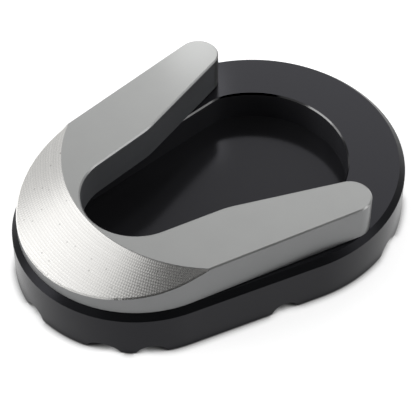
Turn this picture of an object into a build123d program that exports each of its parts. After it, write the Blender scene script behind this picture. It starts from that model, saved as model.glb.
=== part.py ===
"""Kickstand foot enlarger: a black base plate, a grey U-shaped clamp plate and the screws that join them.

Millimetres, +Z up, resting on Z = 0. The long axis lies along X with the nose at -X, and the origin is
under the middle of the base plate.
"""

import os
from math import asin, atan2, cos, degrees, hypot, radians, sin, sqrt, tan

from build123d import *

# Base plate: an egg outline of two round ends joined by tangent sides
plate_length = 90.0
nose_radius = 26.65
tail_radius = 32.7
base_height = 11.5
rim_chamfer = 1.25
sole_chamfer = 0.4

# Pocket that the stand's foot drops into
pocket_nose_wall = 11.5  # wall left in front of the pocket
pocket_tail_wall = 12.45  # wall left behind it
pocket_nose_radius = 16.25
pocket_tail_radius = 20.5
pocket_corner_radius = 9.4  # between the tail end and each side
pocket_lean = 5.9  # degrees that each side leans away from X
pocket_floor = 4.5  # metal left under the pocket
pocket_chamfer = 0.3

# Grip grooves milled across and along the underside
groove_radius = 3.1
groove_depth = 2.3
groove_lip = 0.4  # chamfer along both edges of a groove
first_cross_groove = 13.7  # from the nose end
cross_groove_step = 28.8
long_groove_step = 16.6

# Clamp plate: a U whose arms lie along the sides and reach over the pocket as a lip
clamp_height = 8.5
clamp_setback = 1.2  # strip of base left bare around the nose
clamp_lean = 9.1  # degrees that each arm's outside leans away from X
clamp_band = 13.6  # width of the U before its shoulders
clamp_chamfer = 0.3  # along its top and bottom edges
shoulder_reach = 12.6  # from the nose centre, where each arm begins to narrow
shoulder_radius = 20.0
tip_reach = 35.1  # from the nose centre to the middle of each arm's round end
tip_radius = 4.5

# Ramp: a shallow cone turned on the nose of the clamp plate
ramp_reach = 20.2  # from the nose centre to the cone's axis
ramp_radius = 32.65  # where the cone starts on the top face
ramp_step = 0.2
ramp_angle = 22.9  # degrees below level

# Countersunk socket screws, one at the nose and one in each arm
screw_diameter = 4.0
screw_length = 12.0
screw_head_diameter = 8.0
screw_head_land = 0.3
screw_tip_chamfer = 0.4
socket_flats = 2.5
socket_depth = 1.5
arm_screw_reach = 25.0  # from the nose centre
head_guard = 0.5  # heads sit this far above the bottom of the grooves

# Fits
screw_hole_gap = 0.25  # around the shank in the base plate
head_entry_gap = 0.2  # around the head
head_seat_gap = 0.07  # between the two cones, measured level
thread_gap = 0.05  # around the thread in the clamp plate
thread_end_gap = 0.5  # beyond the screw's tip

# Values that follow from the sizes above
cut_margin = 2.0
nose_end = -plate_length / 2
tail_end = plate_length / 2
nose_x = nose_end + nose_radius
pocket_nose_end = nose_end + pocket_nose_wall
pocket_tail_end = tail_end - pocket_tail_wall
top_z = base_height + clamp_height
clamp_nose_radius = nose_radius - clamp_setback
throat_radius = clamp_nose_radius - clamp_band
head_height = (screw_head_diameter - screw_diameter) / 2
head_sink = groove_depth + head_guard
screw_end_z = head_sink + screw_length


def side_lean(front, front_radius, back, back_radius):
    """Degrees that the straight sides of an egg lean away from X, from its two ends and their radii."""
    return degrees(asin((back_radius - front_radius) / (back - back_radius - front - front_radius)))


def beside_circle(reach, radius, lean):
    """Distance from X, at `reach` from a circle's centre, of a line that leaves the circle at `lean`."""
    return (radius + reach * sin(radians(lean))) / cos(radians(lean))


def tangent_foot(point, centre, radius):
    """Where a line from `point` touches the circle, on the circle's right-hand side."""
    across, along = centre[0] - point[0], centre[1] - point[1]
    distance = hypot(across, along)
    heading = atan2(along, across) - asin(radius / distance)
    reach = sqrt(distance**2 - radius**2)
    return (point[0] + reach * cos(heading), point[1] + reach * sin(heading))


def egg_outline(front, front_radius, back, back_radius):
    """Face with a round end at each of two X positions and straight tangent sides."""
    lean = side_lean(front, front_radius, back, back_radius)
    with BuildSketch() as outline:
        with BuildLine():
            nose = CenterArc((front + front_radius, 0), front_radius, 180, lean - 90)
            tail = CenterArc((back - back_radius, 0), back_radius, 0, 90 + lean)
            Line(nose @ 1, tail @ 1)
            mirror(about=Plane.XZ)
        make_face()
    return outline.sketch


def pocket_face():
    """Face of the pocket: a round nose, leaning sides, and an arc across the tail with round corners."""
    nose_middle = pocket_nose_end + pocket_nose_radius
    tail_middle = pocket_tail_end - pocket_tail_radius
    lean = radians(pocket_lean)
    side_gap = pocket_nose_radius + (tail_middle - nose_middle) * sin(lean)
    corner = tail_middle + sqrt(pocket_tail_radius**2 - side_gap**2) * cos(lean) - side_gap * sin(lean)
    corner_y = beside_circle(corner - nose_middle, pocket_nose_radius, pocket_lean)
    with BuildSketch() as outline:
        with BuildLine():
            nose = CenterArc((nose_middle, 0), pocket_nose_radius, 180, pocket_lean - 90)
            Line(nose @ 1, (corner, corner_y))
            RadiusArc((corner, corner_y), (pocket_tail_end, 0), pocket_tail_radius)
            mirror(about=Plane.XZ)
        make_face()
        fillet(outline.vertices().group_by(Axis.X)[-1], pocket_corner_radius)
    return outline.sketch


def groove_profile():
    """Face with a groove's round bottom and chamfered lips, drawn with the ground along its own X."""
    lip_reach = sqrt(groove_radius**2 - (groove_radius - groove_depth + groove_lip) ** 2)
    mouth_reach = lip_reach + groove_lip + cut_margin
    with BuildSketch() as profile:
        with Locations((0, groove_depth - groove_radius)):
            Circle(groove_radius)
        with BuildLine():
            Polyline(
                (-lip_reach, groove_lip),
                (lip_reach, groove_lip),
                (mouth_reach, -cut_margin),
                (-mouth_reach, -cut_margin),
                close=True,
            )
        make_face()
    return profile.sketch


base_outline = egg_outline(nose_end, nose_radius, tail_end, tail_radius)
pocket_outline = pocket_face()
groove_face = groove_profile()
cross_grooves = [(nose_end + first_cross_groove + i * cross_groove_step, 0) for i in range(3)]
long_grooves = [(i * long_groove_step, 0) for i in (-1, 0, 1)]

# Screw places: the middle of the U at the nose, and in each arm between the pocket and the arm's outside
nose_screw_x = nose_x - (clamp_nose_radius + throat_radius) / 2
arm_screw_x = nose_x + arm_screw_reach
pocket_reach = arm_screw_x - (pocket_nose_end + pocket_nose_radius)
pocket_side_y = beside_circle(pocket_reach, pocket_nose_radius, pocket_lean)
arm_outside_y = beside_circle(arm_screw_reach, clamp_nose_radius, clamp_lean)
arm_screw_y = (pocket_side_y + arm_outside_y) / 2
screw_places = [(nose_screw_x, 0), (arm_screw_x, arm_screw_y), (arm_screw_x, -arm_screw_y)]


# Screw seat: the round entry, cone and shank hole cut through the base plate
entry_radius = screw_head_diameter / 2 + head_entry_gap
hole_radius = screw_diameter / 2 + screw_hole_gap
cone_start_z = head_sink + screw_head_land + head_seat_gap - head_entry_gap

with BuildPart() as screw_seat:
    with BuildSketch(Plane.XZ):
        with BuildLine():
            Polyline(
                (0, -cut_margin),
                (entry_radius, -cut_margin),
                (entry_radius, cone_start_z),
                (hole_radius, cone_start_z + entry_radius - hole_radius),
                (hole_radius, base_height + cut_margin),
                (0, base_height + cut_margin),
                close=True,
            )
        make_face()
    revolve(axis=Axis.Z)


# Base plate
with BuildPart() as base_plate:
    add(base_outline)
    extrude(amount=base_height)
    chamfer(base_plate.faces().sort_by(Axis.Z)[-1].edges(), rim_chamfer)
    chamfer(base_plate.faces().sort_by(Axis.Z)[0].edges(), sole_chamfer)

    with BuildSketch(Plane.XY.offset(pocket_floor)):
        add(pocket_outline)
    extrude(amount=base_height - pocket_floor, mode=Mode.SUBTRACT)
    chamfer(base_plate.faces().sort_by(Axis.Z)[-1].inner_wires()[0].edges(), pocket_chamfer)

    with BuildSketch(Plane.XZ):
        with Locations(*cross_grooves):
            add(groove_face)
    extrude(amount=plate_length, both=True, mode=Mode.SUBTRACT)
    with BuildSketch(Plane.YZ):
        with Locations(*long_grooves):
            add(groove_face)
    extrude(amount=plate_length, both=True, mode=Mode.SUBTRACT)

    with Locations(*screw_places):
        add(screw_seat.part, mode=Mode.SUBTRACT)

base_plate.part.label = "base_plate"


# Clamp plate
tip = (nose_x + tip_reach, beside_circle(tip_reach, clamp_nose_radius - tip_radius, clamp_lean))
tip_start = (tip[0] - tip_radius * sin(radians(clamp_lean)), tip[1] + tip_radius * cos(radians(clamp_lean)))
shoulder = (nose_x + shoulder_reach, beside_circle(shoulder_reach, throat_radius, clamp_lean))
tip_end = tangent_foot(shoulder, tip, tip_radius)
ramp_x = nose_x + ramp_reach
ramp_end = ramp_reach + nose_radius + cut_margin
ramp_end_z = top_z - ramp_step - (ramp_end - ramp_radius) * tan(radians(ramp_angle))

with BuildPart() as clamp_plate:
    with BuildSketch(Plane.XY.offset(base_height)):
        with BuildLine():
            outer_nose = CenterArc((nose_x, 0), clamp_nose_radius, 180, clamp_lean - 90)
            throat = CenterArc((nose_x, 0), throat_radius, 180, clamp_lean - 90)
            Line(outer_nose @ 1, tip_start)
            RadiusArc(tip_start, tip_end, tip_radius)
            FilletPolyline(tip_end, shoulder, throat @ 1, radius=shoulder_radius)
            mirror(about=Plane.XZ)
        make_face()
    extrude(amount=clamp_height)
    chamfer(clamp_plate.faces().filter_by(Axis.Z).edges(), clamp_chamfer)

    # Ramp cut, swept half way round its upright axis on the nose side
    with BuildSketch(Plane((ramp_x, 0, 0), x_dir=(0, 1, 0), z_dir=(1, 0, 0))):
        with BuildLine():
            Polyline(
                (ramp_radius, top_z + cut_margin),
                (ramp_radius, top_z - ramp_step),
                (ramp_end, ramp_end_z),
                (ramp_end, top_z + cut_margin),
                close=True,
            )
        make_face()
    revolve(axis=Axis((ramp_x, 0, 0), (0, 0, 1)), revolution_arc=180, mode=Mode.SUBTRACT)

    # Threaded holes, drawn at the thread's full width
    with BuildSketch(Plane.XY.offset(base_height)):
        with Locations(*screw_places):
            Circle(screw_diameter / 2 + thread_gap)
    extrude(amount=screw_end_z + thread_end_gap - base_height, mode=Mode.SUBTRACT)

clamp_plate.part.label = "clamp_plate"


# Clamp screw, head down
cone_top_z = head_sink + screw_head_land + head_height

with BuildPart() as clamp_screw:
    with BuildSketch(Plane.XZ):
        with BuildLine():
            Polyline(
                (0, head_sink),
                (screw_head_diameter / 2, head_sink),
                (screw_head_diameter / 2, head_sink + screw_head_land),
                (screw_diameter / 2, cone_top_z),
                (screw_diameter / 2, screw_end_z - screw_tip_chamfer),
                (screw_diameter / 2 - screw_tip_chamfer, screw_end_z),
                (0, screw_end_z),
                close=True,
            )
        make_face()
    revolve(axis=Axis.Z)
    with BuildSketch(Plane.XY.offset(head_sink)):
        RegularPolygon(socket_flats / 2, 6, major_radius=False)
    extrude(amount=socket_depth, mode=Mode.SUBTRACT)

with BuildPart() as clamp_screws:
    with Locations(*screw_places):
        add(clamp_screw.part)

clamp_screws.part.label = "clamp_screws"


os.makedirs("parts", exist_ok=True)
export_step(base_plate.part, "parts/base_plate.step")
export_step(clamp_plate.part, "parts/clamp_plate.step")
export_step(clamp_screws.part, "parts/clamp_screws.step")
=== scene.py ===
"""Looks of a kickstand foot enlarger: a black pocketed base, a grey clamp plate and three screws.

Metres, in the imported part's frame: +X runs from the nose to the tail, +Z is up, and it rests on Z = 0.
"""

from __future__ import annotations

import cmath
import logging
import math
from collections.abc import Mapping, Sequence
from dataclasses import dataclass, field
from enum import Enum

import bmesh
import bpy
import numpy as np
from mathutils import Matrix, Vector


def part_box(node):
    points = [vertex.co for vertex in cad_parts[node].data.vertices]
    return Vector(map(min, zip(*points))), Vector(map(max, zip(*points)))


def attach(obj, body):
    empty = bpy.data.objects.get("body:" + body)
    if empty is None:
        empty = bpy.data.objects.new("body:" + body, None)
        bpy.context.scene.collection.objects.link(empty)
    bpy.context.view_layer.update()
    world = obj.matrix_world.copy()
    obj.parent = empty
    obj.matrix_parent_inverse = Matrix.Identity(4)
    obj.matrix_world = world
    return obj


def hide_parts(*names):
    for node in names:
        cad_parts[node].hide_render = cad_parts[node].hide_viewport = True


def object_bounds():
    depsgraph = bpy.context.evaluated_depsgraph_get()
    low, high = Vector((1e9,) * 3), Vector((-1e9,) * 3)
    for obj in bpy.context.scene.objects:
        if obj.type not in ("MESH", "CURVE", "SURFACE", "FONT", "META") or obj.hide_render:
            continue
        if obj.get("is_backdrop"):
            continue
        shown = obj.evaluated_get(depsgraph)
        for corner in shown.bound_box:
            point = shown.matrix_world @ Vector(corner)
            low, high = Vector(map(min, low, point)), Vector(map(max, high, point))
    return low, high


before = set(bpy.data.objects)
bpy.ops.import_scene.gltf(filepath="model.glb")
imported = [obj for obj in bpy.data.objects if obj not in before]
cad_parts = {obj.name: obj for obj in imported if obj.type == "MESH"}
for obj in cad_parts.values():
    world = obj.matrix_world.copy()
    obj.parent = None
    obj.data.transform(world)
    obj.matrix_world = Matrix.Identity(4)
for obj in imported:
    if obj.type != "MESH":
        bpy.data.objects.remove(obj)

LOG = logging.getLogger("foot_enlarger")
MM = 0.001
BODY = "root"
NOSE_SCREW = complex(-37.0 * MM)
ARM_SCREW = complex(6.65 * MM, 24.293 * MM)
SCREW_PLACES = (NOSE_SCREW, ARM_SCREW, ARM_SCREW.conjugate())
NOISE_MEAN = 0.5
Colour = tuple[float, float, float]
BLACK: Colour = (0.0, 0.0, 0.0)
WHITE: Colour = (1.0, 1.0, 1.0)
BLACK_DYE: Colour = (0.008, 0.008, 0.0095)
DYE_GLOSS: Colour = (0.89, 0.89, 1.0)


class Slot(Enum):
    """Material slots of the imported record."""

    BLACK = "black_anodised"
    GREY = "grey_anodised"
    STEEL = "screw_steel"


class Wire:
    """One output of a node, with the arithmetic that node maths needs."""

    def __init__(self, board: Board, node: bpy.types.Node, output: str | int = 0) -> None:
        """Holds a node of a board and names one of its outputs.

        Args:
            board: The board that the node stands on.
            node: The node.
            output: Name or number of the output that this wire starts from.
        """
        self.board = board
        self.node = node
        self.output = output

    @property
    def socket(self) -> bpy.types.NodeSocket:
        """The output socket itself."""
        return self.node.outputs[self.output]

    def out(self, output: str | int) -> Wire:
        """Another output of the same node."""
        return Wire(self.board, self.node, output)

    def __add__(self, other: Wire | float) -> Wire:
        """Sum."""
        return self.board.math("ADD", self, other)

    def __radd__(self, other: float) -> Wire:
        """Sum, from the right."""
        return self.board.math("ADD", other, self)

    def __sub__(self, other: Wire | float) -> Wire:
        """Difference."""
        return self.board.math("SUBTRACT", self, other)

    def __rsub__(self, other: float) -> Wire:
        """Difference, from the right."""
        return self.board.math("SUBTRACT", other, self)

    def __mul__(self, other: Wire | float) -> Wire:
        """Product."""
        return self.board.math("MULTIPLY", self, other)

    def __rmul__(self, other: float) -> Wire:
        """Product, from the right."""
        return self.board.math("MULTIPLY", other, self)

    def __truediv__(self, other: Wire | float) -> Wire:
        """Quotient."""
        return self.board.math("DIVIDE", self, other)


class Board:
    """A node tree that is being wired up."""

    def __init__(self, tree: bpy.types.NodeTree) -> None:
        """Starts on an empty tree."""
        self.tree = tree
        tree.nodes.clear()

    def node(
        self,
        kind: str,
        settings: Mapping[str, object] | None = None,
        sockets: Mapping[str | int, object] | None = None,
        output: str | int = 0,
    ) -> Wire:
        """Adds a node.

        Args:
            kind: The node's type.
            settings: Properties that are set before its sockets.
            sockets: Values, or wires to link, by the name or number of each input.
            output: Name or number of the output that the wire starts from.

        Returns:
            A wire from the node.
        """
        made = self.tree.nodes.new(kind)
        for name, value in (settings or {}).items():
            setattr(made, name, value)
        for key, value in (sockets or {}).items():
            if isinstance(value, Wire):
                self.tree.links.new(value.socket, made.inputs[key])
            else:
                made.inputs[key].default_value = value
        return Wire(self, made, output)

    def math(self, operation: str, *values: Wire | float) -> Wire:
        """A Math node on wires and numbers."""
        return self.node("ShaderNodeMath", {"operation": operation}, dict(enumerate(values)))

    def vector(self, operation: str, *values: Wire | Sequence[float], output: str | int = 0) -> Wire:
        """A Vector Math node on wires and vectors."""
        sockets = dict(enumerate(values))
        return self.node("ShaderNodeVectorMath", {"operation": operation}, sockets, output)

    def chance(self, number: Wire) -> Wire:
        """A value from 0 to 1 that is as good as random for each whole number."""
        return self.node("ShaderNodeTexWhiteNoise", {"noise_dimensions": "1D"}, {"W": number}, "Value")

    def smooth_step(self, value: Wire, low: float, high: float) -> Wire:
        """Eases from 0 at `low` to 1 at `high`.

        Args:
            value: The value that is mapped.
            low: Where the step starts.
            high: Where it ends, which may be under `low`.

        Returns:
            The eased value.
        """
        sockets = {"Value": value, "From Min": low, "From Max": high, "To Min": 0.0, "To Max": 1.0}
        return self.node("ShaderNodeMapRange", {"interpolation_type": "SMOOTHSTEP"}, sockets)

    def noise(self, place: Wire, size: float, detail: float = 2.0) -> Wire:
        """Noise with features of about the given size.

        Args:
            place: Where the noise is read.
            size: Size of a feature, in metres.
            detail: Number of finer layers.

        Returns:
            A value around the noise's mean.
        """
        sockets = {"Vector": place, "Scale": 1.0 / size, "Detail": detail}
        return self.node("ShaderNodeTexNoise", None, sockets)

    def tint(self, factor: Wire, low: Wire | Colour, high: Wire | Colour) -> Wire:
        """A colour between two others.

        Args:
            factor: 0 for the first colour, 1 for the second.
            low: First colour.
            high: Second colour.

        Returns:
            The mixed colour.
        """
        ends = (end if isinstance(end, Wire) else (*end, 1.0) for end in (low, high))
        sockets = {0: factor, **dict(zip((6, 7), ends))}
        return self.node("ShaderNodeMix", {"data_type": "RGBA"}, sockets, 2)

    def bump(self, height: Wire, relief: float) -> Wire:
        """A normal that follows a height of 0 to 1, which stands for a relief in metres."""
        return self.node("ShaderNodeBump", None, {"Strength": 1.0, "Distance": relief, "Height": height})

    def surface(self, sockets: Mapping[str, object]) -> None:
        """Ends a material in a Principled shader with the given sockets."""
        shader = self.node("ShaderNodeBsdfPrincipled", None, sockets)
        self.node("ShaderNodeOutputMaterial", None, {"Surface": shader})


def new_material(name: str) -> tuple[bpy.types.Material, Board]:
    """A material with an empty board.

    Args:
        name: The material's name.

    Returns:
        The material and its board.
    """
    material = bpy.data.materials.new(name)
    material.use_nodes = True
    return material, Board(material.node_tree)


def scaled(colour: Colour, factor: float) -> Colour:
    """A colour made lighter or darker."""
    return (colour[0] * factor, colour[1] * factor, colour[2] * factor)


@dataclass(frozen=True)
class Anodised:
    """Anodised aluminium: a fine even grain with faint clouds in its tone.

    Attributes:
        name: The material's name.
        colour: Mean colour.
        roughness: Mean roughness.
        metallic: 1 where the dyed layer lets the metal's shine through, 0 where it is opaque.
        ior: Refraction of an opaque layer.
        gloss: Tint of an opaque layer's gloss.
        grain: Size of the grain.
        relief: Height of the grain.
        cloud: Size of the clouds.
        drift: Share by which clouds change the tone.
        uneven: Range by which clouds change the roughness.
    """

    name: str
    colour: Colour
    roughness: float
    metallic: float = 0.0
    ior: float = 1.5
    gloss: Colour = WHITE
    grain: float = 0.16 * MM
    relief: float = 0.0016 * MM
    cloud: float = 7.0 * MM
    drift: float = 0.05
    uneven: float = 0.05

    def material(self) -> bpy.types.Material:
        """Wires the finish up.

        Returns:
            The material.
        """
        material, board = new_material(self.name)
        place = board.node("ShaderNodeTexCoord", output="Object")
        clouds = board.noise(place, self.cloud)
        grain = board.noise(place, self.grain)
        deep, pale = (scaled(self.colour, 1.0 + side * self.drift) for side in (-1, 1))
        board.surface(
            {
                "Base Color": board.tint(clouds, deep, pale),
                "Metallic": self.metallic,
                "IOR": self.ior,
                "Specular Tint": (*self.gloss, 1.0),
                "Roughness": self.roughness + self.uneven * (clouds - NOISE_MEAN),
                "Normal": board.bump(grain, self.relief),
            }
        )
        return material


@dataclass(frozen=True)
class BareMilled:
    """Bare milled aluminium: hair scratches along the passes, grey lines between them, a few pits.

    Attributes:
        name: The material's name.
        colour: Colour of the metal.
        pit_colour: Colour of the pits.
        roughness: Mean roughness.
        uneven: Range by which scratches change the roughness.
        hair: Width of a scratch.
        sweep: Length that a radian counts for in a scratch, short so that scratches run far.
        relief: Depth of the scratches.
        pit: Distance between places where a pit may lie.
        pit_edge: Share of that distance at which a pit starts.
        pit_core: Share at which it has its whole depth of colour.
        drift: Share by which one pass is lighter or darker than another.
        line: Share by which the line between two passes is darker.
        line_start: Share of a pass, from its middle, at which that line starts.
        line_full: Share at which the line is darkest.
    """

    name: str
    colour: Colour
    pit_colour: Colour
    roughness: float
    uneven: float = 0.12
    hair: float = 0.09 * MM
    sweep: float = 4.0 * MM
    relief: float = 0.0012 * MM
    pit: float = 2.2 * MM
    pit_edge: float = 0.14
    pit_core: float = 0.06
    drift: float = 0.03
    line: float = 0.09
    line_start: float = 0.3
    line_full: float = 0.5

    def material(self, centre: float, start: float, width: float) -> bpy.types.Material:
        """Wires the finish up.

        Args:
            centre: Place on X that the passes run round.
            start: Radius of the first pass.
            width: Width of a pass.

        Returns:
            The material.
        """
        material, board = new_material(self.name)
        place = board.node("ShaderNodeTexCoord", output="Object")
        arm = board.vector("SUBTRACT", place, (centre, 0.0, 0.0))
        across = board.vector("MULTIPLY", arm, (1.0, 1.0, 0.0))
        parts = board.node("ShaderNodeSeparateXYZ", None, {0: across})
        radius = board.vector("LENGTH", across, output="Value")
        turn = board.math("ARCTAN2", parts.out("Y"), parts.out("X"))
        along = board.node("ShaderNodeCombineXYZ", None, {"X": radius, "Y": turn * self.sweep})
        hairs = board.noise(along, self.hair, 1.0)

        passes = (radius - start) / width
        beside = board.math("ABSOLUTE", board.math("FRACT", passes) - 0.5)
        lines = board.smooth_step(beside, self.line_start, self.line_full)
        tone = 1.0 - self.drift * board.chance(board.math("FLOOR", passes)) - self.line * lines
        metal = board.tint(tone, BLACK, self.colour)

        spots = {"Vector": place, "Scale": 1.0 / self.pit}
        cells = board.node("ShaderNodeTexVoronoi", {"feature": "F1"}, spots, "Distance")
        pits = board.smooth_step(cells, self.pit_edge, self.pit_core)
        board.surface(
            {
                "Base Color": board.tint(pits, metal, self.pit_colour),
                "Metallic": 1.0,
                "Roughness": self.roughness + self.uneven * (hairs - NOISE_MEAN),
                "Normal": board.bump(hairs, self.relief),
            }
        )
        return material


@dataclass(frozen=True)
class StudioPaper:
    """White paper under the part: lit as paper is, lifted to white where it is seen or mirrored, and
    darkened near the part by a painted contact shadow.

    Attributes:
        colour: Colour of the paper.
        lift: Light added for rays that see or mirror it.
        shade: Colour of the paper where the part closes it in, a painted contact shadow.
        shade_reach: Distance over which the part does so.
        shut: Openness under which the paper has its whole shade.
        clear: Openness over which it has none.
    """

    colour: Colour = (0.62, 0.62, 0.62)
    lift: float = 0.75
    shade: Colour = (0.3, 0.3, 0.3)
    shade_reach: float = 3.0 * MM
    shut: float = 0.3
    clear: float = 0.85

    def material(self) -> bpy.types.Material:
        """Wires the paper up.

        Returns:
            The material.
        """
        material, board = new_material("studio_paper")
        path = board.node("ShaderNodeLightPath")
        seen = board.math("MAXIMUM", path.out("Is Camera Ray"), path.out("Is Glossy Ray"))
        seen = board.math("MAXIMUM", seen, path.out("Is Transmission Ray"))
        # Painted contact shadow: ambient occlusion darkens the paper's colour and takes its lift away
        # near the part.
        openness = board.node("ShaderNodeAmbientOcclusion", None, {"Distance": self.shade_reach}, "AO")
        clear = board.smooth_step(openness, self.shut, self.clear)
        paper_with_painted_shadow = board.tint(clear, self.shade, self.colour)
        paper = board.node("ShaderNodeBsdfDiffuse", None, {"Color": paper_with_painted_shadow})
        lit = board.tint(clear, BLACK, WHITE)
        glow = board.node("ShaderNodeEmission", None, {"Color": lit, "Strength": seen * self.lift})
        both = board.node("ShaderNodeAddShader", None, {0: paper, 1: glow})
        board.node("ShaderNodeOutputMaterial", None, {"Surface": both})
        return material


@dataclass(frozen=True)
class Stretch:
    """One straight or round stretch of an outline, with X and Y as a complex number.

    Attributes:
        start: Its first point.
        heading: Direction in which it sets out, in radians.
        bend: Turn per metre, to the left if positive.
    """

    start: complex
    heading: float
    bend: float

    def at(self, reach: float) -> tuple[complex, float]:
        """Place and heading at a distance along the stretch.

        Args:
            reach: Distance from its start.

        Returns:
            The place and the heading.
        """
        heading = self.heading + self.bend * reach
        if self.bend == 0.0:
            return self.start + cmath.rect(reach, heading), heading
        swing = cmath.rect(1.0, heading) - cmath.rect(1.0, self.heading)
        return self.start + swing / (1j * self.bend), heading


class Outline:
    """A smooth run of straight and round stretches, with the metal on its right."""

    HALVINGS = 60

    def __init__(self, start: complex, heading: float) -> None:
        """Starts an outline.

        Args:
            start: First point.
            heading: Direction in which it sets out, in radians.
        """
        self.end = start
        self.heading = heading
        self.length = 0.0
        self.stretches: list[tuple[float, Stretch]] = []
        self.marks: dict[str, float] = {}

    def mark(self, name: str) -> None:
        """Keeps the distance gone so far under a name."""
        self.marks[name] = self.length

    def _add(self, length: float, bend: float) -> None:
        """Adds a stretch.

        Args:
            length: Its length.
            bend: Its turn per metre.
        """
        stretch = Stretch(self.end, self.heading, bend)
        self.stretches.append((self.length, stretch))
        self.end, self.heading = stretch.at(length)
        self.length += length

    def straight(self, length: float) -> None:
        """Goes straight on."""
        self._add(length, 0.0)

    def arc(self, radius: float, turn: float) -> None:
        """Turns round a radius, to the left if the angle is positive."""
        self._add(radius * abs(turn), math.copysign(1.0 / radius, turn))

    def at(self, reach: float, inset: float = 0.0) -> complex:
        """A point of the outline.

        Args:
            reach: Distance along it. A negative one is on its mirror image across X.
            inset: Distance from the outline into the metal.

        Returns:
            The point.
        """
        distance = abs(reach)
        start, stretch = next(pair for pair in reversed(self.stretches) if pair[0] <= distance)
        place, heading = stretch.at(distance - start)
        place -= inset * 1j * cmath.rect(1.0, heading)
        return place if reach >= 0.0 else place.conjugate()

    def where(self, radius: float, centre: complex, inset: float, high: float) -> float:
        """Distance along the outline at which it comes within a radius of a centre.

        Args:
            radius: The radius.
            centre: The centre.
            inset: Distance from the outline into the metal.
            high: A distance along the outline by which it has come that near.

        Returns:
            The distance.
        """
        low = 0.0
        for _ in range(self.HALVINGS):
            middle = (low + high) / 2
            if abs(self.at(middle, inset) - centre) > radius:
                low = middle
            else:
                high = middle
        return high


def tree_with_inputs(
    name: str, inputs: Mapping[str, str]
) -> tuple[bpy.types.NodeTree, Board, Wire, dict[str, str]]:
    """A Geometry Nodes tree with named inputs.

    Args:
        name: The tree's name.
        inputs: Socket type of each input, by its name.

    Returns:
        The tree, its board, the wire of its input node, and each input's identifier by name.
    """
    tree = bpy.data.node_groups.new(name, "GeometryNodeTree")
    tree.interface.new_socket("Geometry", in_out="OUTPUT", socket_type="NodeSocketGeometry")
    tree.interface.new_socket("Geometry", in_out="INPUT", socket_type="NodeSocketGeometry")
    ids = {}
    for label, kind in inputs.items():
        ids[label] = tree.interface.new_socket(label, in_out="INPUT", socket_type=kind).identifier
    board = Board(tree)
    return tree, board, board.node("NodeGroupInput"), ids


def run_tree(piece: bpy.types.Object, tree: bpy.types.NodeTree, values: Mapping[str, object]) -> None:
    """Runs a tree on a piece and keeps the result as its plain mesh.

    Args:
        piece: The piece.
        tree: The tree.
        values: Value of each input, by identifier.
    """
    modifier = piece.modifiers.new(tree.name, "NODES")
    modifier.node_group = tree
    for identifier, value in values.items():
        modifier[identifier] = value
    graph = bpy.context.evaluated_depsgraph_get()
    ready = piece.evaluated_get(graph)
    made = bpy.data.meshes.new_from_object(ready, preserve_all_data_layers=True, depsgraph=graph)
    piece.modifiers.remove(modifier)
    spare = piece.data
    piece.data = made
    made.name = piece.name
    bpy.data.meshes.remove(spare)


def new_piece(
    name: str, shape: bmesh.types.BMesh, materials: Sequence[bpy.types.Material]
) -> bpy.types.Object:
    """An object in the scene from a built shape, which is used up.

    Args:
        name: The object's name.
        shape: The shape.
        materials: The object's materials.

    Returns:
        The object.
    """
    mesh = bpy.data.meshes.new(name)
    shape.to_mesh(mesh)
    shape.free()
    piece = bpy.data.objects.new(name, mesh)
    bpy.context.scene.collection.objects.link(piece)
    for material in materials:
        mesh.materials.append(material)
    return piece


def seat(piece: bpy.types.Object, node: str) -> None:
    """Makes a piece stand for a CAD node.

    Args:
        piece: The piece.
        node: The node that it replaces.
    """
    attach(piece, BODY)
    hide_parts(node)
    faces = len(piece.data.polygons)
    LOG.info("%s stands for %s with %d faces", piece.name, node, faces)


class BlackFace(Enum):
    """Kinds of face on the base plate, by the number of their finish."""

    SIDE = 0
    TOP = 1
    POCKET_FLOOR = 2
    POCKET_RIM = 3
    POCKET_WALL = 4
    EDGE = 5


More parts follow.
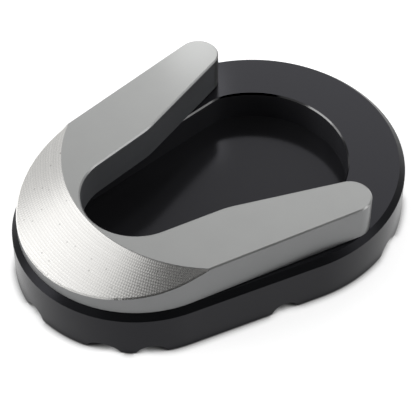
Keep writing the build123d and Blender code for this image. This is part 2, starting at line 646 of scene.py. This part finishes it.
@dataclass
class BasePlate:
    """The black base plate: the CAD solid with crisp edges and a finish for each kind of face, with
    painted shade on the side and the outer edge, painted light on the pocket wall and a partly painted
    highlight on the pocket rim.

    Attributes:
        level: Upward share of the normal from which a face is level.
        slope: Upward share of the normal from which a face slopes.
        top_share: Share of the height above which a level face is the top.
        groove_share: Share of the height under which every face has the side's finish.
    """

    node: str = "base_plate"
    merge_gap: float = 0.0005 * MM
    crease: float = math.radians(30.0)
    level: float = 0.99
    slope: float = 0.5
    top_share: float = 0.9
    groove_share: float = 0.3
    # Painted shade: the side is the top's black anodising with a weaker gloss, so that it mirrors the
    # paper darker.
    side: Anodised = Anodised("black_side", BLACK_DYE, 0.22, ior=1.265, gloss=DYE_GLOSS)
    top: Anodised = Anodised("black_top", BLACK_DYE, 0.2, ior=1.385, gloss=DYE_GLOSS)
    floor: Anodised = Anodised("black_pocket", (0.016, 0.016, 0.0175), 0.15, ior=1.295, gloss=DYE_GLOSS)
    # Partly painted highlight: a stronger gloss than the top's makes the rim's real reflection of the key
    # softbox brighter.
    rim: Anodised = Anodised("black_pocket_rim", (0.006, 0.006, 0.007), 0.13, ior=1.7)
    # Painted light: the pocket wall is a lighter copy of the black anodising, for the little light that
    # reaches it in the pocket.
    wall: Anodised = Anodised("black_pocket_wall", (0.028, 0.028, 0.031), 0.22, gloss=DYE_GLOSS)
    # Painted shade: a weaker gloss than the top's keeps the outer chamfer dark.
    edge: Anodised = Anodised("black_edge", (0.0085, 0.0088, 0.0098), 0.25, ior=1.2, gloss=DYE_GLOSS)

    def kind_of(self, face: bmesh.types.BMFace, height: float) -> BlackFace:
        """Tells what kind of face one is.

        Args:
            face: A face of the plate.
            height: The plate's height.

        Returns:
            The kind.
        """
        middle = face.calc_center_median()
        if middle.z < self.groove_share * height:
            return BlackFace.SIDE
        if face.normal.z > self.level:
            return BlackFace.TOP if middle.z > self.top_share * height else BlackFace.POCKET_FLOOR
        sloping = face.normal.z > self.slope
        if face.normal.xy.dot(middle.xy) > 0.0:
            return BlackFace.EDGE if sloping else BlackFace.SIDE
        return BlackFace.POCKET_RIM if sloping else BlackFace.POCKET_WALL

    def build(self) -> bpy.types.Object:
        """Merges a copy of the solid's triangles.

        Returns:
            The piece.
        """
        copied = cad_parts[self.node].data.copy()
        copied.attributes.remove(copied.attributes["custom_normal"])
        shape = bmesh.new()
        shape.from_mesh(copied)
        bpy.data.meshes.remove(copied)
        bmesh.ops.remove_doubles(shape, verts=shape.verts, dist=self.merge_gap)
        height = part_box(self.node)[1].z
        for face in shape.faces:
            face.smooth = True
            face.material_index = self.kind_of(face, height).value
        finishes = (self.side, self.top, self.floor, self.rim, self.wall, self.edge)
        return new_piece("base_plate_finished", shape, [finish.material() for finish in finishes])

    def dress(self, piece: bpy.types.Object) -> None:
        """Sharpens the creases and seats the plate."""
        piece.data.set_sharp_from_angle(angle=self.crease)
        seat(piece, self.node)


class Skin(Enum):
    """Finishes of the clamp plate, by number. The bare one is laid on with the tool marks."""

    TOP = 0
    WALL = 1
    THROAT = 2
    BARE = 3


class Net:
    """A growing net of points and faces, with X and Y as a complex number."""

    def __init__(self) -> None:
        """Starts an empty net, whose layers tell the tool marks where they belong."""
        self.shape = bmesh.new()
        self.rings = self.shape.verts.layers.float.new("ramp_ring")
        self.bare = self.shape.faces.layers.bool.new("bare_face")

    def point(self, place: complex, height: float, ring: float = 0.0) -> bmesh.types.BMVert:
        """Adds a point.

        Args:
            place: Where it lies.
            height: Its height.
            ring: Share of the tool marks that it takes.

        Returns:
            The point.
        """
        made = self.shape.verts.new((place.real, place.imag, height))
        made[self.rings] = ring
        return made

    def face(self, corners: Sequence[bmesh.types.BMVert], skin: Skin) -> None:
        """Adds a face, leaving out corners that come twice.

        Args:
            corners: Its corners, in order.
            skin: Its finish.
        """
        made = self.shape.faces.new(tuple(dict.fromkeys(corners)))
        made.smooth = True
        made.material_index = min(skin.value, Skin.THROAT.value)
        made[self.bare] = skin is Skin.BARE

    def strip(
        self, lower: Sequence[bmesh.types.BMVert], upper: Sequence[bmesh.types.BMVert], skin: Skin
    ) -> None:
        """Joins two rows of as many points by a strip of faces."""
        for k in range(len(lower) - 1):
            self.face((lower[k], lower[k + 1], upper[k + 1], upper[k]), skin)


@dataclass
class ClampPlate:
    """The grey U with its milled ramp, rebuilt finely enough to carry the tool's marks.

    The sizes down to `hole_end_z` repeat those of the solid that it stands for, and a reach is a distance
    on X from the nose's middle.

    Attributes:
        lean: Angle by which an arm's outside leans away from X.
        ramp_x: Axis of the ramp's cone, on X.
        ramp_step: Drop from the top face to the ramp's start.
        ring_slack: Share of a ring's spacing under which the last ring is left out.
        edge_break: Width of the broken edge at the ramp's foot.
        edge_fade: Distance over which it runs out at the ramp's ends.
        burr_range: Least and greatest share of that width.
        burr_span: Number of points over which the width is evened out.
        feed_share: Share of the full depth that tooth marks have.
        pass_shift: Teeth by which each pass lags behind the last.
        pass_jitter: Teeth by which a pass may lag by chance.
    """

    node: str = "clamp_plate"
    nose_x: float = -18.35 * MM
    seat_z: float = 11.5 * MM
    top_z: float = 20.0 * MM
    nose_radius: float = 25.45 * MM
    throat_radius: float = 11.85 * MM
    lean: float = math.radians(9.1)
    shoulder_reach: float = 12.6 * MM
    shoulder_radius: float = 20.0 * MM
    tip_reach: float = 35.1 * MM
    tip_radius: float = 4.5 * MM
    chamfer: float = 0.3 * MM
    ramp_x: float = 1.85 * MM
    ramp_radius: float = 32.65 * MM
    ramp_step: float = 0.2 * MM
    ramp_angle: float = math.radians(22.9)
    hole_radius: float = 2.05 * MM
    hole_end_z: float = 15.3 * MM
    hole_sides: int = 40
    arm_spacing: float = 0.3 * MM
    ramp_spacing: float = 0.1 * MM
    ring_spacing: float = 0.112 * MM
    ring_slack: float = 0.3
    edge_break: float = 0.26 * MM
    edge_fade: float = 1.5 * MM
    burr_range: tuple[float, float] = (0.7, 1.3)
    burr_span: int = 9
    burr_seed: int = 7
    pass_width: float = 0.56 * MM
    tooth_feed: float = 0.46 * MM
    tool_radius: float = 3.0 * MM
    feed_share: float = 0.75
    pass_shift: float = 0.2
    pass_jitter: float = 0.4
    crease: float = math.radians(18.0)
    top: Anodised = Anodised("grey_top", (0.335, 0.338, 0.334), 0.31, metallic=0.85)
    # Painted shade: the walls and the throat are darker, less metallic copies of the top's grey
    # anodising, for the shaded paper that they mirror.
    wall: Anodised = Anodised("grey_wall", (0.2, 0.203, 0.204), 0.32, metallic=0.64)
    throat: Anodised = Anodised("grey_throat", (0.222, 0.228, 0.24), 0.32, metallic=0.5)
    bare: BareMilled = BareMilled("bare_ramp", (0.94, 0.93, 0.905), (0.7, 0.69, 0.67), 0.24)

    def outline(self) -> Outline:
        """Half of the U's outline, from the nose round one arm to the throat.

        Returns:
            The outline, on the side where Y is positive.
        """
        tip_gap = self.nose_radius - self.tip_radius
        across = (tip_gap + self.tip_reach * math.sin(self.lean)) / math.cos(self.lean)
        tip = complex(self.nose_x + self.tip_reach, across)
        band = (self.throat_radius + self.shoulder_reach * math.sin(self.lean)) / math.cos(self.lean)
        shoulder = complex(self.nose_x + self.shoulder_reach, band)
        distance, direction = cmath.polar(tip - shoulder)
        narrowing = direction - math.asin(self.tip_radius / distance)
        run = math.sqrt(distance**2 - self.tip_radius**2)
        turn = self.lean - narrowing
        cut = self.shoulder_radius * math.tan(abs(turn) / 2)
        quarter = math.pi / 2 - self.lean
        inner = (self.shoulder_reach + self.throat_radius * math.sin(self.lean)) / math.cos(self.lean)

        line = Outline(complex(self.nose_x - self.nose_radius), math.pi / 2)
        line.arc(self.nose_radius, -quarter)
        line.straight(self.tip_reach / math.cos(self.lean) + tip_gap * math.tan(self.lean))
        line.mark("tip")
        line.arc(self.tip_radius, narrowing - math.pi - self.lean)
        line.mark("inside")
        line.straight(run - cut)
        line.arc(self.shoulder_radius, turn)
        line.straight(inner - cut)
        line.arc(self.throat_radius, quarter)
        return line

    def ramp_z(self, place: complex) -> float:
        """Height of the ramp's cone over a place."""
        past_start = abs(place - self.ramp_x) - self.ramp_radius
        return self.top_z - self.ramp_step - past_start * math.tan(self.ramp_angle)

    def build(self) -> bpy.types.Object:
        """Builds the plate, with a fine net of rings over the ramp.

        Returns:
            The piece, before its tool marks.
        """
        net = Net()
        line = self.outline()
        tip = line.marks["tip"]
        drop = self.chamfer - self.ramp_step
        ramp_reach = self.ramp_radius + drop / math.tan(self.ramp_angle)
        ramp_end = line.where(ramp_reach, self.ramp_x, 0.0, tip)
        lip_end = line.where(self.ramp_radius, self.ramp_x, self.chamfer, tip)
        notch_end = line.where(self.ramp_radius, self.ramp_x, drop, tip)

        ramp_count = round(ramp_end / self.ramp_spacing)
        arm_count = round((line.length - ramp_end) / self.arm_spacing)
        on_ramp = np.linspace(0.0, ramp_end, ramp_count + 1)
        on_arm = np.linspace(ramp_end, line.length, arm_count + 1)[1:]
        half = np.concatenate((on_ramp, on_arm))
        reaches = np.concatenate((-half[-2:0:-1], half)).tolist()
        count, middle = len(reaches), len(half) - 2
        first, last = middle - ramp_count, middle + ramp_count

        sole = [net.point(line.at(reach, self.chamfer), self.seat_z) for reach in reaches]
        foot = [net.point(line.at(reach), self.seat_z + self.chamfer) for reach in reaches]
        crown, rim = self._edges(net, line, reaches, first, last, ramp_end)
        lips = {
            i: net.point(line.at(reach, self.chamfer), self.top_z)
            for i, reach in enumerate(reaches)
            if abs(reach) > lip_end
        }
        sides = (-1, 1)
        step_z = self.top_z - self.ramp_step
        lip_ends = [net.point(line.at(side * lip_end, self.chamfer), self.top_z) for side in sides]
        notches = [net.point(line.at(side * notch_end, drop), step_z) for side in sides]

        inside = [i for i in range(count) if abs(reaches[i]) >= line.marks["inside"]]
        split = next(k for k, i in enumerate(inside) if reaches[i] > 0.0)
        throat = [*inside[split:], *inside[:split]]
        hidden = set(throat[1:-1])
        outer = [i for i in range(count) if i not in hidden]
        for run, skin in ((outer, Skin.WALL), (throat, Skin.THROAT)):
            net.strip([sole[i] for i in run], [foot[i] for i in run], skin)
            net.strip([foot[i] for i in run], [crown[i] for i in run], skin)
        net.strip(crown[first : last + 1], rim, Skin.BARE)
        arms = [i % count for i in range(last, count + first + 1)]
        lipped = [i for i in arms if i in lips]
        net.strip([crown[i] for i in lipped], [lips[i] for i in lipped], Skin.TOP)
        before = arms[: arms.index(lipped[0]) + 1]
        after = arms[: arms.index(lipped[-1]) - 1 : -1]
        net.face((*(crown[i] for i in before), lips[lipped[0]], lip_ends[1], notches[1]), Skin.TOP)
        net.face((*(crown[i] for i in after), lips[lipped[-1]], lip_ends[0], notches[0]), Skin.TOP)

        arch = self._ramp(net, rim, notches, lip_ends)
        net.face((*(lips[i] for i in lipped), lip_ends[0], *arch, lip_ends[1]), Skin.TOP)
        self._seat_face(net, sole)
        bmesh.ops.recalc_face_normals(net.shape, faces=net.shape.faces)
        finishes = (self.top, self.wall, self.throat)
        return new_piece("clamp_plate_finished", net.shape, [finish.material() for finish in finishes])

    def _edges(
        self, net: Net, line: Outline, reaches: Sequence[float], first: int, last: int, ramp_end: float
    ) -> tuple[list[bmesh.types.BMVert], list[bmesh.types.BMVert]]:
        """Adds the top edge of the walls, and the edge of the ramp above its broken foot.

        Args:
            net: The plate's net.
            line: Half of its outline.
            reaches: Distances along the outline.
            first: Number of the reach at which the ramp starts.
            last: Number of the reach at which it ends.
            ramp_end: Distance along the outline to the ramp's ends.

        Returns:
            The points of the walls' top edge and those of the ramp's edge.
        """
        chance = np.random.default_rng(self.burr_seed)
        evening = np.ones(self.burr_span) / self.burr_span
        burr = np.convolve(chance.uniform(*self.burr_range, len(reaches)), evening, "same")
        crown, rim = [], []
        for i, reach in enumerate(reaches):
            place = line.at(reach)
            if not first < i < last:
                crown.append(net.point(place, self.top_z - self.chamfer))
                continue
            inset = self.edge_break * float(burr[i]) * min(1.0, (ramp_end - abs(reach)) / self.edge_fade)
            edge = line.at(reach, inset)
            crown.append(net.point(place, self.ramp_z(place) - inset))
            rim.append(net.point(edge, self.ramp_z(edge), 1.0))
        return crown, [crown[first], *rim, crown[last]]

    def _ramp(
        self,
        net: Net,
        rim: Sequence[bmesh.types.BMVert],
        notches: Sequence[bmesh.types.BMVert],
        lip_ends: Sequence[bmesh.types.BMVert],
    ) -> list[bmesh.types.BMVert]:
        """Covers the ramp with columns of points on rings, and adds the small step above it.

        Args:
            net: The plate's net.
            rim: Points of the ramp's edge.
            notches: Points where the step's foot meets the chamfer.
            lip_ends: Points where the step's head meets the chamfer.

        Returns:
            The points of the step's head between those two.
        """
        columns, arch = [], []
        for edge in rim:
            reach, turn = cmath.polar(complex(edge.co.x, edge.co.y) - self.ramp_x)
            rings = math.ceil((reach - self.ramp_radius) / self.ring_spacing - self.ring_slack)
            radii = (self.ramp_radius + k * self.ring_spacing for k in range(rings))
            places = [self.ramp_x + cmath.rect(radius, turn) for radius in radii]
            columns.append([*(net.point(place, self.ramp_z(place), 1.0) for place in places), edge])
            arch.append(net.point(places[0], self.top_z))
        columns = [[notches[0]], *columns, [notches[1]]]
        for left, right in zip(columns, columns[1:]):
            shared = max(min(len(left), len(right)) - 2, 0)
            net.strip(left[: shared + 1], right[: shared + 1], Skin.BARE)
            net.face((*left[shared:], *reversed(right[shared:])), Skin.BARE)
        net.strip([column[0] for column in columns], [lip_ends[0], *arch, lip_ends[1]], Skin.WALL)
        return arch

    def _seat_face(self, net: Net, sole: Sequence[bmesh.types.BMVert]) -> None:
        """Closes the plate below, with a blind hole for each screw.

        Args:
            net: The plate's net.
            sole: Points of the bottom face's edge.
        """
        loops = [sole]
        turns = [2 * math.pi * k / self.hole_sides for k in range(self.hole_sides)]
        for middle in SCREW_PLACES:
            places = [middle + cmath.rect(self.hole_radius, turn) for turn in turns]
            heights = (self.seat_z, self.hole_end_z)
            mouth, end = ([net.point(place, height) for place in places] for height in heights)
            net.strip([*mouth, mouth[0]], [*end, end[0]], Skin.WALL)
            net.face(end, Skin.WALL)
            loops.append(mouth)
        edges = [net.shape.edges.get(pair) for loop in loops for pair in zip(loop, [*loop[1:], loop[0]])]
        filled = bmesh.ops.triangle_fill(net.shape, use_beauty=True, edges=edges)
        for made in filled["geom"]:
            if isinstance(made, bmesh.types.BMFace):
                made.material_index = Skin.WALL.value

    def mark(self, piece: bpy.types.Object) -> None:
        """Presses the ball tool's marks into the ramp: pass beside pass, tooth after tooth.

        Args:
            piece: The plate.
        """
        sizes = {
            "Start Radius": self.ramp_radius,
            "Pass Width": self.pass_width,
            "Tooth Feed": self.tooth_feed,
            "Tool Radius": self.tool_radius,
            "Feed Share": self.feed_share,
            "Pass Shift": self.pass_shift,
            "Pass Jitter": self.pass_jitter,
        }
        kinds = {"Axis": "NodeSocketVector", "Bare Metal": "NodeSocketMaterial"}
        kinds |= dict.fromkeys(sizes, "NodeSocketFloat")
        tree, board, inlet, ids = tree_with_inputs("ramp_tool_marks", kinds)
        start, width, feed, tool, share, shift, jitter = (inlet.out(label) for label in sizes)

        arm = board.vector("SUBTRACT", board.node("GeometryNodeInputPosition"), inlet.out("Axis"))
        flat = board.vector("MULTIPLY", arm, (1.0, 1.0, 0.0))
        parts = board.node("ShaderNodeSeparateXYZ", None, {0: flat})
        turn = board.math("ARCTAN2", parts.out("Y"), -1.0 * parts.out("X"))
        passes = (board.vector("LENGTH", flat, output="Value") - start) / width
        number = board.math("FLOOR", passes)
        lag = shift * number + jitter * board.chance(number)
        teeth = turn * start / feed + lag

        # The ball rises by the distance squared over twice its radius, and its cusps stay on the cone
        beside = (board.math("FRACT", passes) - 0.5) * width
        along = (board.math("FRACT", teeth) - 0.5) * feed
        cusp = (width * width + share * feed * feed) / (8.0 * tool)
        depth = (beside * beside + share * along * along) / (2.0 * tool) - cusp

        ring, bare = (
            board.node("GeometryNodeInputNamedAttribute", {"data_type": kind}, {"Name": name})
            for kind, name in (("FLOAT", "ramp_ring"), ("BOOLEAN", "bare_face"))
        )
        offset = board.node("ShaderNodeCombineXYZ", None, {"Z": depth * ring})
        shape = {"Geometry": inlet.out("Geometry"), "Offset": offset}
        moved = board.node("GeometryNodeSetPosition", None, shape)
        whole = board.node("GeometryNodeRealizeInstances", None, {"Geometry": moved})
        paint = {"Geometry": whole, "Selection": bare, "Material": inlet.out("Bare Metal")}
        painted = board.node("GeometryNodeSetMaterial", None, paint)
        board.node("NodeGroupOutput", None, {"Geometry": painted})
        metal = self.bare.material(self.ramp_x, self.ramp_radius, self.pass_width)
        values = {**sizes, "Axis": (self.ramp_x, 0.0, 0.0), "Bare Metal": metal}
        run_tree(piece, tree, {ids[label]: value for label, value in values.items()})

    def dress(self, piece: bpy.types.Object) -> None:
        """Sharpens the creases and seats the plate."""
        piece.data.set_sharp_from_angle(angle=self.crease)
        seat(piece, self.node)


@dataclass
class ClampScrews:
    """Three countersunk socket screws, driven from below.

    Attributes:
        head_land: Height of the straight rim of the head.
        head_break: Broken edge of the head.
        drill_share: Width of the socket's drilled end, as a share of the socket's.
        drill_depth: Depth of that end past the socket's.
    """

    node: str = "clamp_screws"
    radius: float = 2.0 * MM
    head_radius: float = 4.0 * MM
    head_land: float = 0.3 * MM
    head_break: float = 0.1 * MM
    length: float = 12.0 * MM
    tip_chamfer: float = 0.4 * MM
    socket_flats: float = 2.5 * MM
    socket_depth: float = 1.5 * MM
    drill_share: float = 0.3
    drill_depth: float = 0.3 * MM
    thread_pitch: float = 0.7 * MM
    thread_depth: float = 0.36 * MM
    sides: int = 36
    rows_per_turn: int = 6
    crease: float = math.radians(35.0)
    steel: Anodised = Anodised("black_oxide", (0.05, 0.05, 0.052), 0.36, metallic=0.8)

    def blank(self, bottom: float) -> bmesh.types.BMesh:
        """One screw on the Z axis, with a turned head, a hexagon socket and a thread.

        Args:
            bottom: Height of the head's flat face.

        Returns:
            The shape.
        """
        cone_top = bottom + self.head_land + self.head_radius - self.radius
        end = bottom + self.length
        step = self.thread_pitch / self.rows_per_turn
        shank = np.arange(cone_top + step, end - self.tip_chamfer, step)
        rows = [
            (bottom, self.head_radius - self.head_break),
            (bottom + self.head_break, self.head_radius),
            (bottom + self.head_land, self.head_radius),
            (cone_top, self.radius),
            *((float(z), self.radius) for z in shank),
            (end, self.radius - self.tip_chamfer),
        ]

        shape = bmesh.new()
        turns = [2 * math.pi * k / self.sides for k in range(self.sides)]
        loops = []
        for height, radius in rows:
            threaded = radius == self.radius and height > cone_top
            loop = []
            for turn in turns:
                wave = (height / self.thread_pitch - turn / (2 * math.pi)) % 1.0
                cut = self.thread_depth * (1.0 - abs(2.0 * wave - 1.0)) if threaded else 0.0
                place = cmath.rect(radius - cut, turn)
                loop.append(shape.verts.new((place.real, place.imag, height)))
            loops.append(loop)
        loops = [*self._socket(shape, bottom), *loops]
        for lower, upper in zip(loops, loops[1:]):
            for k in range(self.sides):
                n = (k + 1) % self.sides
                shape.faces.new((lower[k], lower[n], upper[n], upper[k]))
        shape.faces.new(loops[0])
        shape.faces.new(loops[-1])
        bmesh.ops.recalc_face_normals(shape, faces=shape.faces)
        for made in shape.faces:
            made.smooth = True
        return shape

    def _socket(self, shape: bmesh.types.BMesh, bottom: float) -> list[list[bmesh.types.BMVert]]:
        """Loops of the hexagon socket, from its drilled end to its mouth.

        Args:
            shape: The screw's shape.
            bottom: Height of the head's flat face.

        Returns:
            The loops, each with as many points as the screw has sides.
        """
        sector = math.pi / 3
        drilled = self.socket_depth + self.drill_depth
        loops = []
        for share, depth in ((self.drill_share, drilled), (1.0, self.socket_depth), (1.0, 0.0)):
            loop = []
            for k in range(self.sides):
                turn = 2 * math.pi * k / self.sides
                flat = self.socket_flats / 2 / math.cos(turn % sector - sector / 2)
                place = cmath.rect(share * flat, turn)
                loop.append(shape.verts.new((place.real, place.imag, bottom + depth)))
            loops.append(loop)
        return loops

    def build(self) -> bpy.types.Object:
        """Sets a screw on each place.

        Returns:
            The piece, with all three screws.
        """
        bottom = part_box(self.node)[0].z
        blank = new_piece("screw_blank", self.blank(bottom), [])
        spots = bmesh.new()
        for place in SCREW_PLACES:
            spots.verts.new((place.real, place.imag, 0.0))
        piece = new_piece("clamp_screws_finished", spots, [])
        kinds = {"Screw": "NodeSocketObject", "Steel": "NodeSocketMaterial"}
        tree, board, inlet, ids = tree_with_inputs("screw_set", kinds)
        screw = board.node("GeometryNodeObjectInfo", None, {"Object": inlet.out("Screw")}, "Geometry")
        pattern = {"Points": inlet.out("Geometry"), "Instance": screw}
        placed = board.node("GeometryNodeInstanceOnPoints", None, pattern)
        whole = board.node("GeometryNodeRealizeInstances", None, {"Geometry": placed})
        paint = {"Geometry": whole, "Material": inlet.out("Steel")}
        painted = board.node("GeometryNodeSetMaterial", None, paint)
        board.node("NodeGroupOutput", None, {"Geometry": painted})
        run_tree(piece, tree, {ids["Screw"]: blank, ids["Steel"]: self.steel.material()})
        bpy.data.objects.remove(blank)
        return piece

    def dress(self, piece: bpy.types.Object) -> None:
        """Sharpens the creases and seats the screws."""
        piece.data.set_sharp_from_angle(angle=self.crease)
        seat(piece, self.node)


def direction(azimuth: float, elevation: float) -> Vector:
    """Unit vector towards an azimuth, from +X to +Y, and an elevation, both in degrees."""
    a, e = math.radians(azimuth), math.radians(elevation)
    return Vector((math.cos(a) * math.cos(e), math.sin(a) * math.cos(e), math.sin(e)))


@dataclass(frozen=True)
class SoftCard:
    """A soft bright patch of the studio's walls, or a dark one.

    Attributes:
        azimuth: Direction of its middle, in degrees from +X.
        elevation: Its height above level, in degrees.
        full: Half angle over which it has its whole brightness.
        fade: Half angle at which it is gone.
        brightness: Light that it adds, or takes away if negative.
    """

    azimuth: float
    elevation: float
    full: float
    fade: float
    brightness: float


@dataclass(frozen=True)
class Softbox:
    """A square soft lamp that points at the part.

    Attributes:
        name: The lamp's name.
        azimuth: Direction from its aim, in degrees from +X.
        elevation: Its height above level, in degrees.
        distance: Distance from its aim.
        side: Length of its sides.
        radiance: Brightness of its face.
        aim: Point that it faces.
    """

    name: str
    azimuth: float
    elevation: float
    distance: float
    side: float
    radiance: float
    aim: Vector = field(default_factory=Vector)

    def place(self) -> None:
        """Hangs the lamp."""
        lamp = bpy.data.lights.new(self.name, "AREA")
        lamp.shape = "SQUARE"
        lamp.size = self.side
        lamp.energy = self.radiance * math.pi * self.side**2
        holder = bpy.data.objects.new(self.name, lamp)
        towards = direction(self.azimuth, self.elevation)
        holder.location = self.aim + towards * self.distance
        holder.visible_camera = False
        holder.rotation_euler = towards.to_track_quat("Z", "Y").to_euler()
        bpy.context.scene.collection.objects.link(holder)
        LOG.info("%s hung", self.name)


@dataclass
class Studio:
    """White paper, soft walls, soft lamps and the camera.

    Attributes:
        ceiling_start: Upward share of a direction at which the walls begin to darken.
        ceiling_end: Upward share at which the ceiling has its own light.
        azimuth: Direction in which the camera's right side points, in degrees from +X.
        focal_share: Focal length over the sensor's width, 1900 pixels of the picture's 416.
        clip: Nearest and furthest distance that the camera sees.
    """

    paper_side: float = 4.0
    paper: StudioPaper = StudioPaper()
    wall_level: float = 0.68
    ceiling_level: float = 0.07
    ceiling_start: float = 0.51
    ceiling_end: float = 0.97
    cards: tuple[SoftCard, ...] = (
        SoftCard(azimuth=44.0, elevation=24.5, full=2.0, fade=38.0, brightness=1.86),
        SoftCard(azimuth=117.0, elevation=54.0, full=15.5, fade=22.0, brightness=0.93),
        SoftCard(azimuth=-45.0, elevation=28.0, full=6.0, fade=14.0, brightness=2.6),
        SoftCard(azimuth=131.0, elevation=22.0, full=5.0, fade=12.0, brightness=3.0),
        SoftCard(azimuth=-114.0, elevation=27.0, full=36.0, fade=41.0, brightness=-0.61),
    )
    lamps: tuple[Softbox, ...] = (
        Softbox("key_softbox", azimuth=150.0, elevation=30.0, distance=0.9, side=0.4, radiance=5.0),
        Softbox("front_softbox", azimuth=-75.0, elevation=63.0, distance=0.9, side=0.3, radiance=4.5),
        Softbox("back_lamp", 54.6, 42.4, 0.045, 0.014, 1.35, Vector((18.5, 29.0, 20.0)) * MM),
    )
    target: Vector = field(default_factory=lambda: Vector((1.732, 2.615, 0.198)) * MM)
    azimuth: float = -36.183
    elevation: float = 47.357
    roll: float = -0.036
    distance: float = 417.536 * MM
    sensor: float = 36.0
    focal_share: float = 1900.0 / 416.0
    clip: tuple[float, float] = (0.01, 20.0)

    def build(self) -> None:
        """Sets up paper, light and camera."""
        self._lay_paper()
        self._light_walls()
        for lamp in self.lamps:
            lamp.place()
        self._set_camera()
        bpy.context.scene.view_settings.view_transform = "Standard"

    def _lay_paper(self) -> None:
        """Lays the paper that the part stands on."""
        shape = bmesh.new()
        bmesh.ops.create_grid(shape, x_segments=1, y_segments=1, size=self.paper_side / 2)
        paper = new_piece("studio_paper", shape, [self.paper.material()])
        paper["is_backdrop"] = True

    def _light_walls(self) -> None:
        """Makes the walls pale and the ceiling dark, and adds the cards."""
        world = bpy.data.worlds.new("studio_walls")
        world.use_nodes = True
        bpy.context.scene.world = world
        board = Board(world.node_tree)
        towards = board.node("ShaderNodeTexCoord", output="Generated")
        height = board.node("ShaderNodeSeparateXYZ", None, {0: towards}).out("Z")
        ceiling = board.smooth_step(height, self.ceiling_start, self.ceiling_end)
        light = self.wall_level + (self.ceiling_level - self.wall_level) * ceiling
        for card in self.cards:
            middle = direction(card.azimuth, card.elevation)
            nearness = board.vector("DOT_PRODUCT", towards, tuple(middle), output="Value")
            ends = (math.cos(math.radians(card.fade)), math.cos(math.radians(card.full)))
            light = light + card.brightness * board.smooth_step(nearness, *ends)
        walls = board.node("ShaderNodeBackground", None, {"Strength": light})
        board.node("ShaderNodeOutputWorld", None, {"Surface": walls})

    def _set_camera(self) -> None:
        """Sets the camera where the photograph was taken from."""
        lens = bpy.data.cameras.new("camera")
        lens.sensor_width = self.sensor
        lens.lens = self.focal_share * self.sensor
        lens.clip_start, lens.clip_end = self.clip
        camera = bpy.data.objects.new("camera", lens)
        bpy.context.scene.collection.objects.link(camera)
        back = direction(self.azimuth - 90.0, self.elevation)
        right = Vector((0.0, 0.0, 1.0)).cross(back).normalized()
        up = back.cross(right)
        turn = Matrix((right, up, back)).transposed() @ Matrix.Rotation(math.radians(self.roll), 3, "Z")
        camera.matrix_world = Matrix.Translation(self.target + back * self.distance) @ turn.to_4x4()
        bpy.context.scene.camera = camera


def corners() -> list[list[float]]:
    """Lowest and highest corner of what is shown, as plain lists."""
    return [list(corner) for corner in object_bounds()]


def main() -> None:
    """Builds the pieces and the studio, in order."""
    logging.basicConfig(level=logging.INFO, format="%(name)s: %(message)s")
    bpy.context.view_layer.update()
    base = BasePlate()
    base.dress(base.build())
    clamp = ClampPlate()
    plate = clamp.build()
    clamp.mark(plate)
    clamp.dress(plate)
    screws = ClampScrews()
    screws.dress(screws.build())
    Studio().build()


if __name__ == "__main__":
    main()
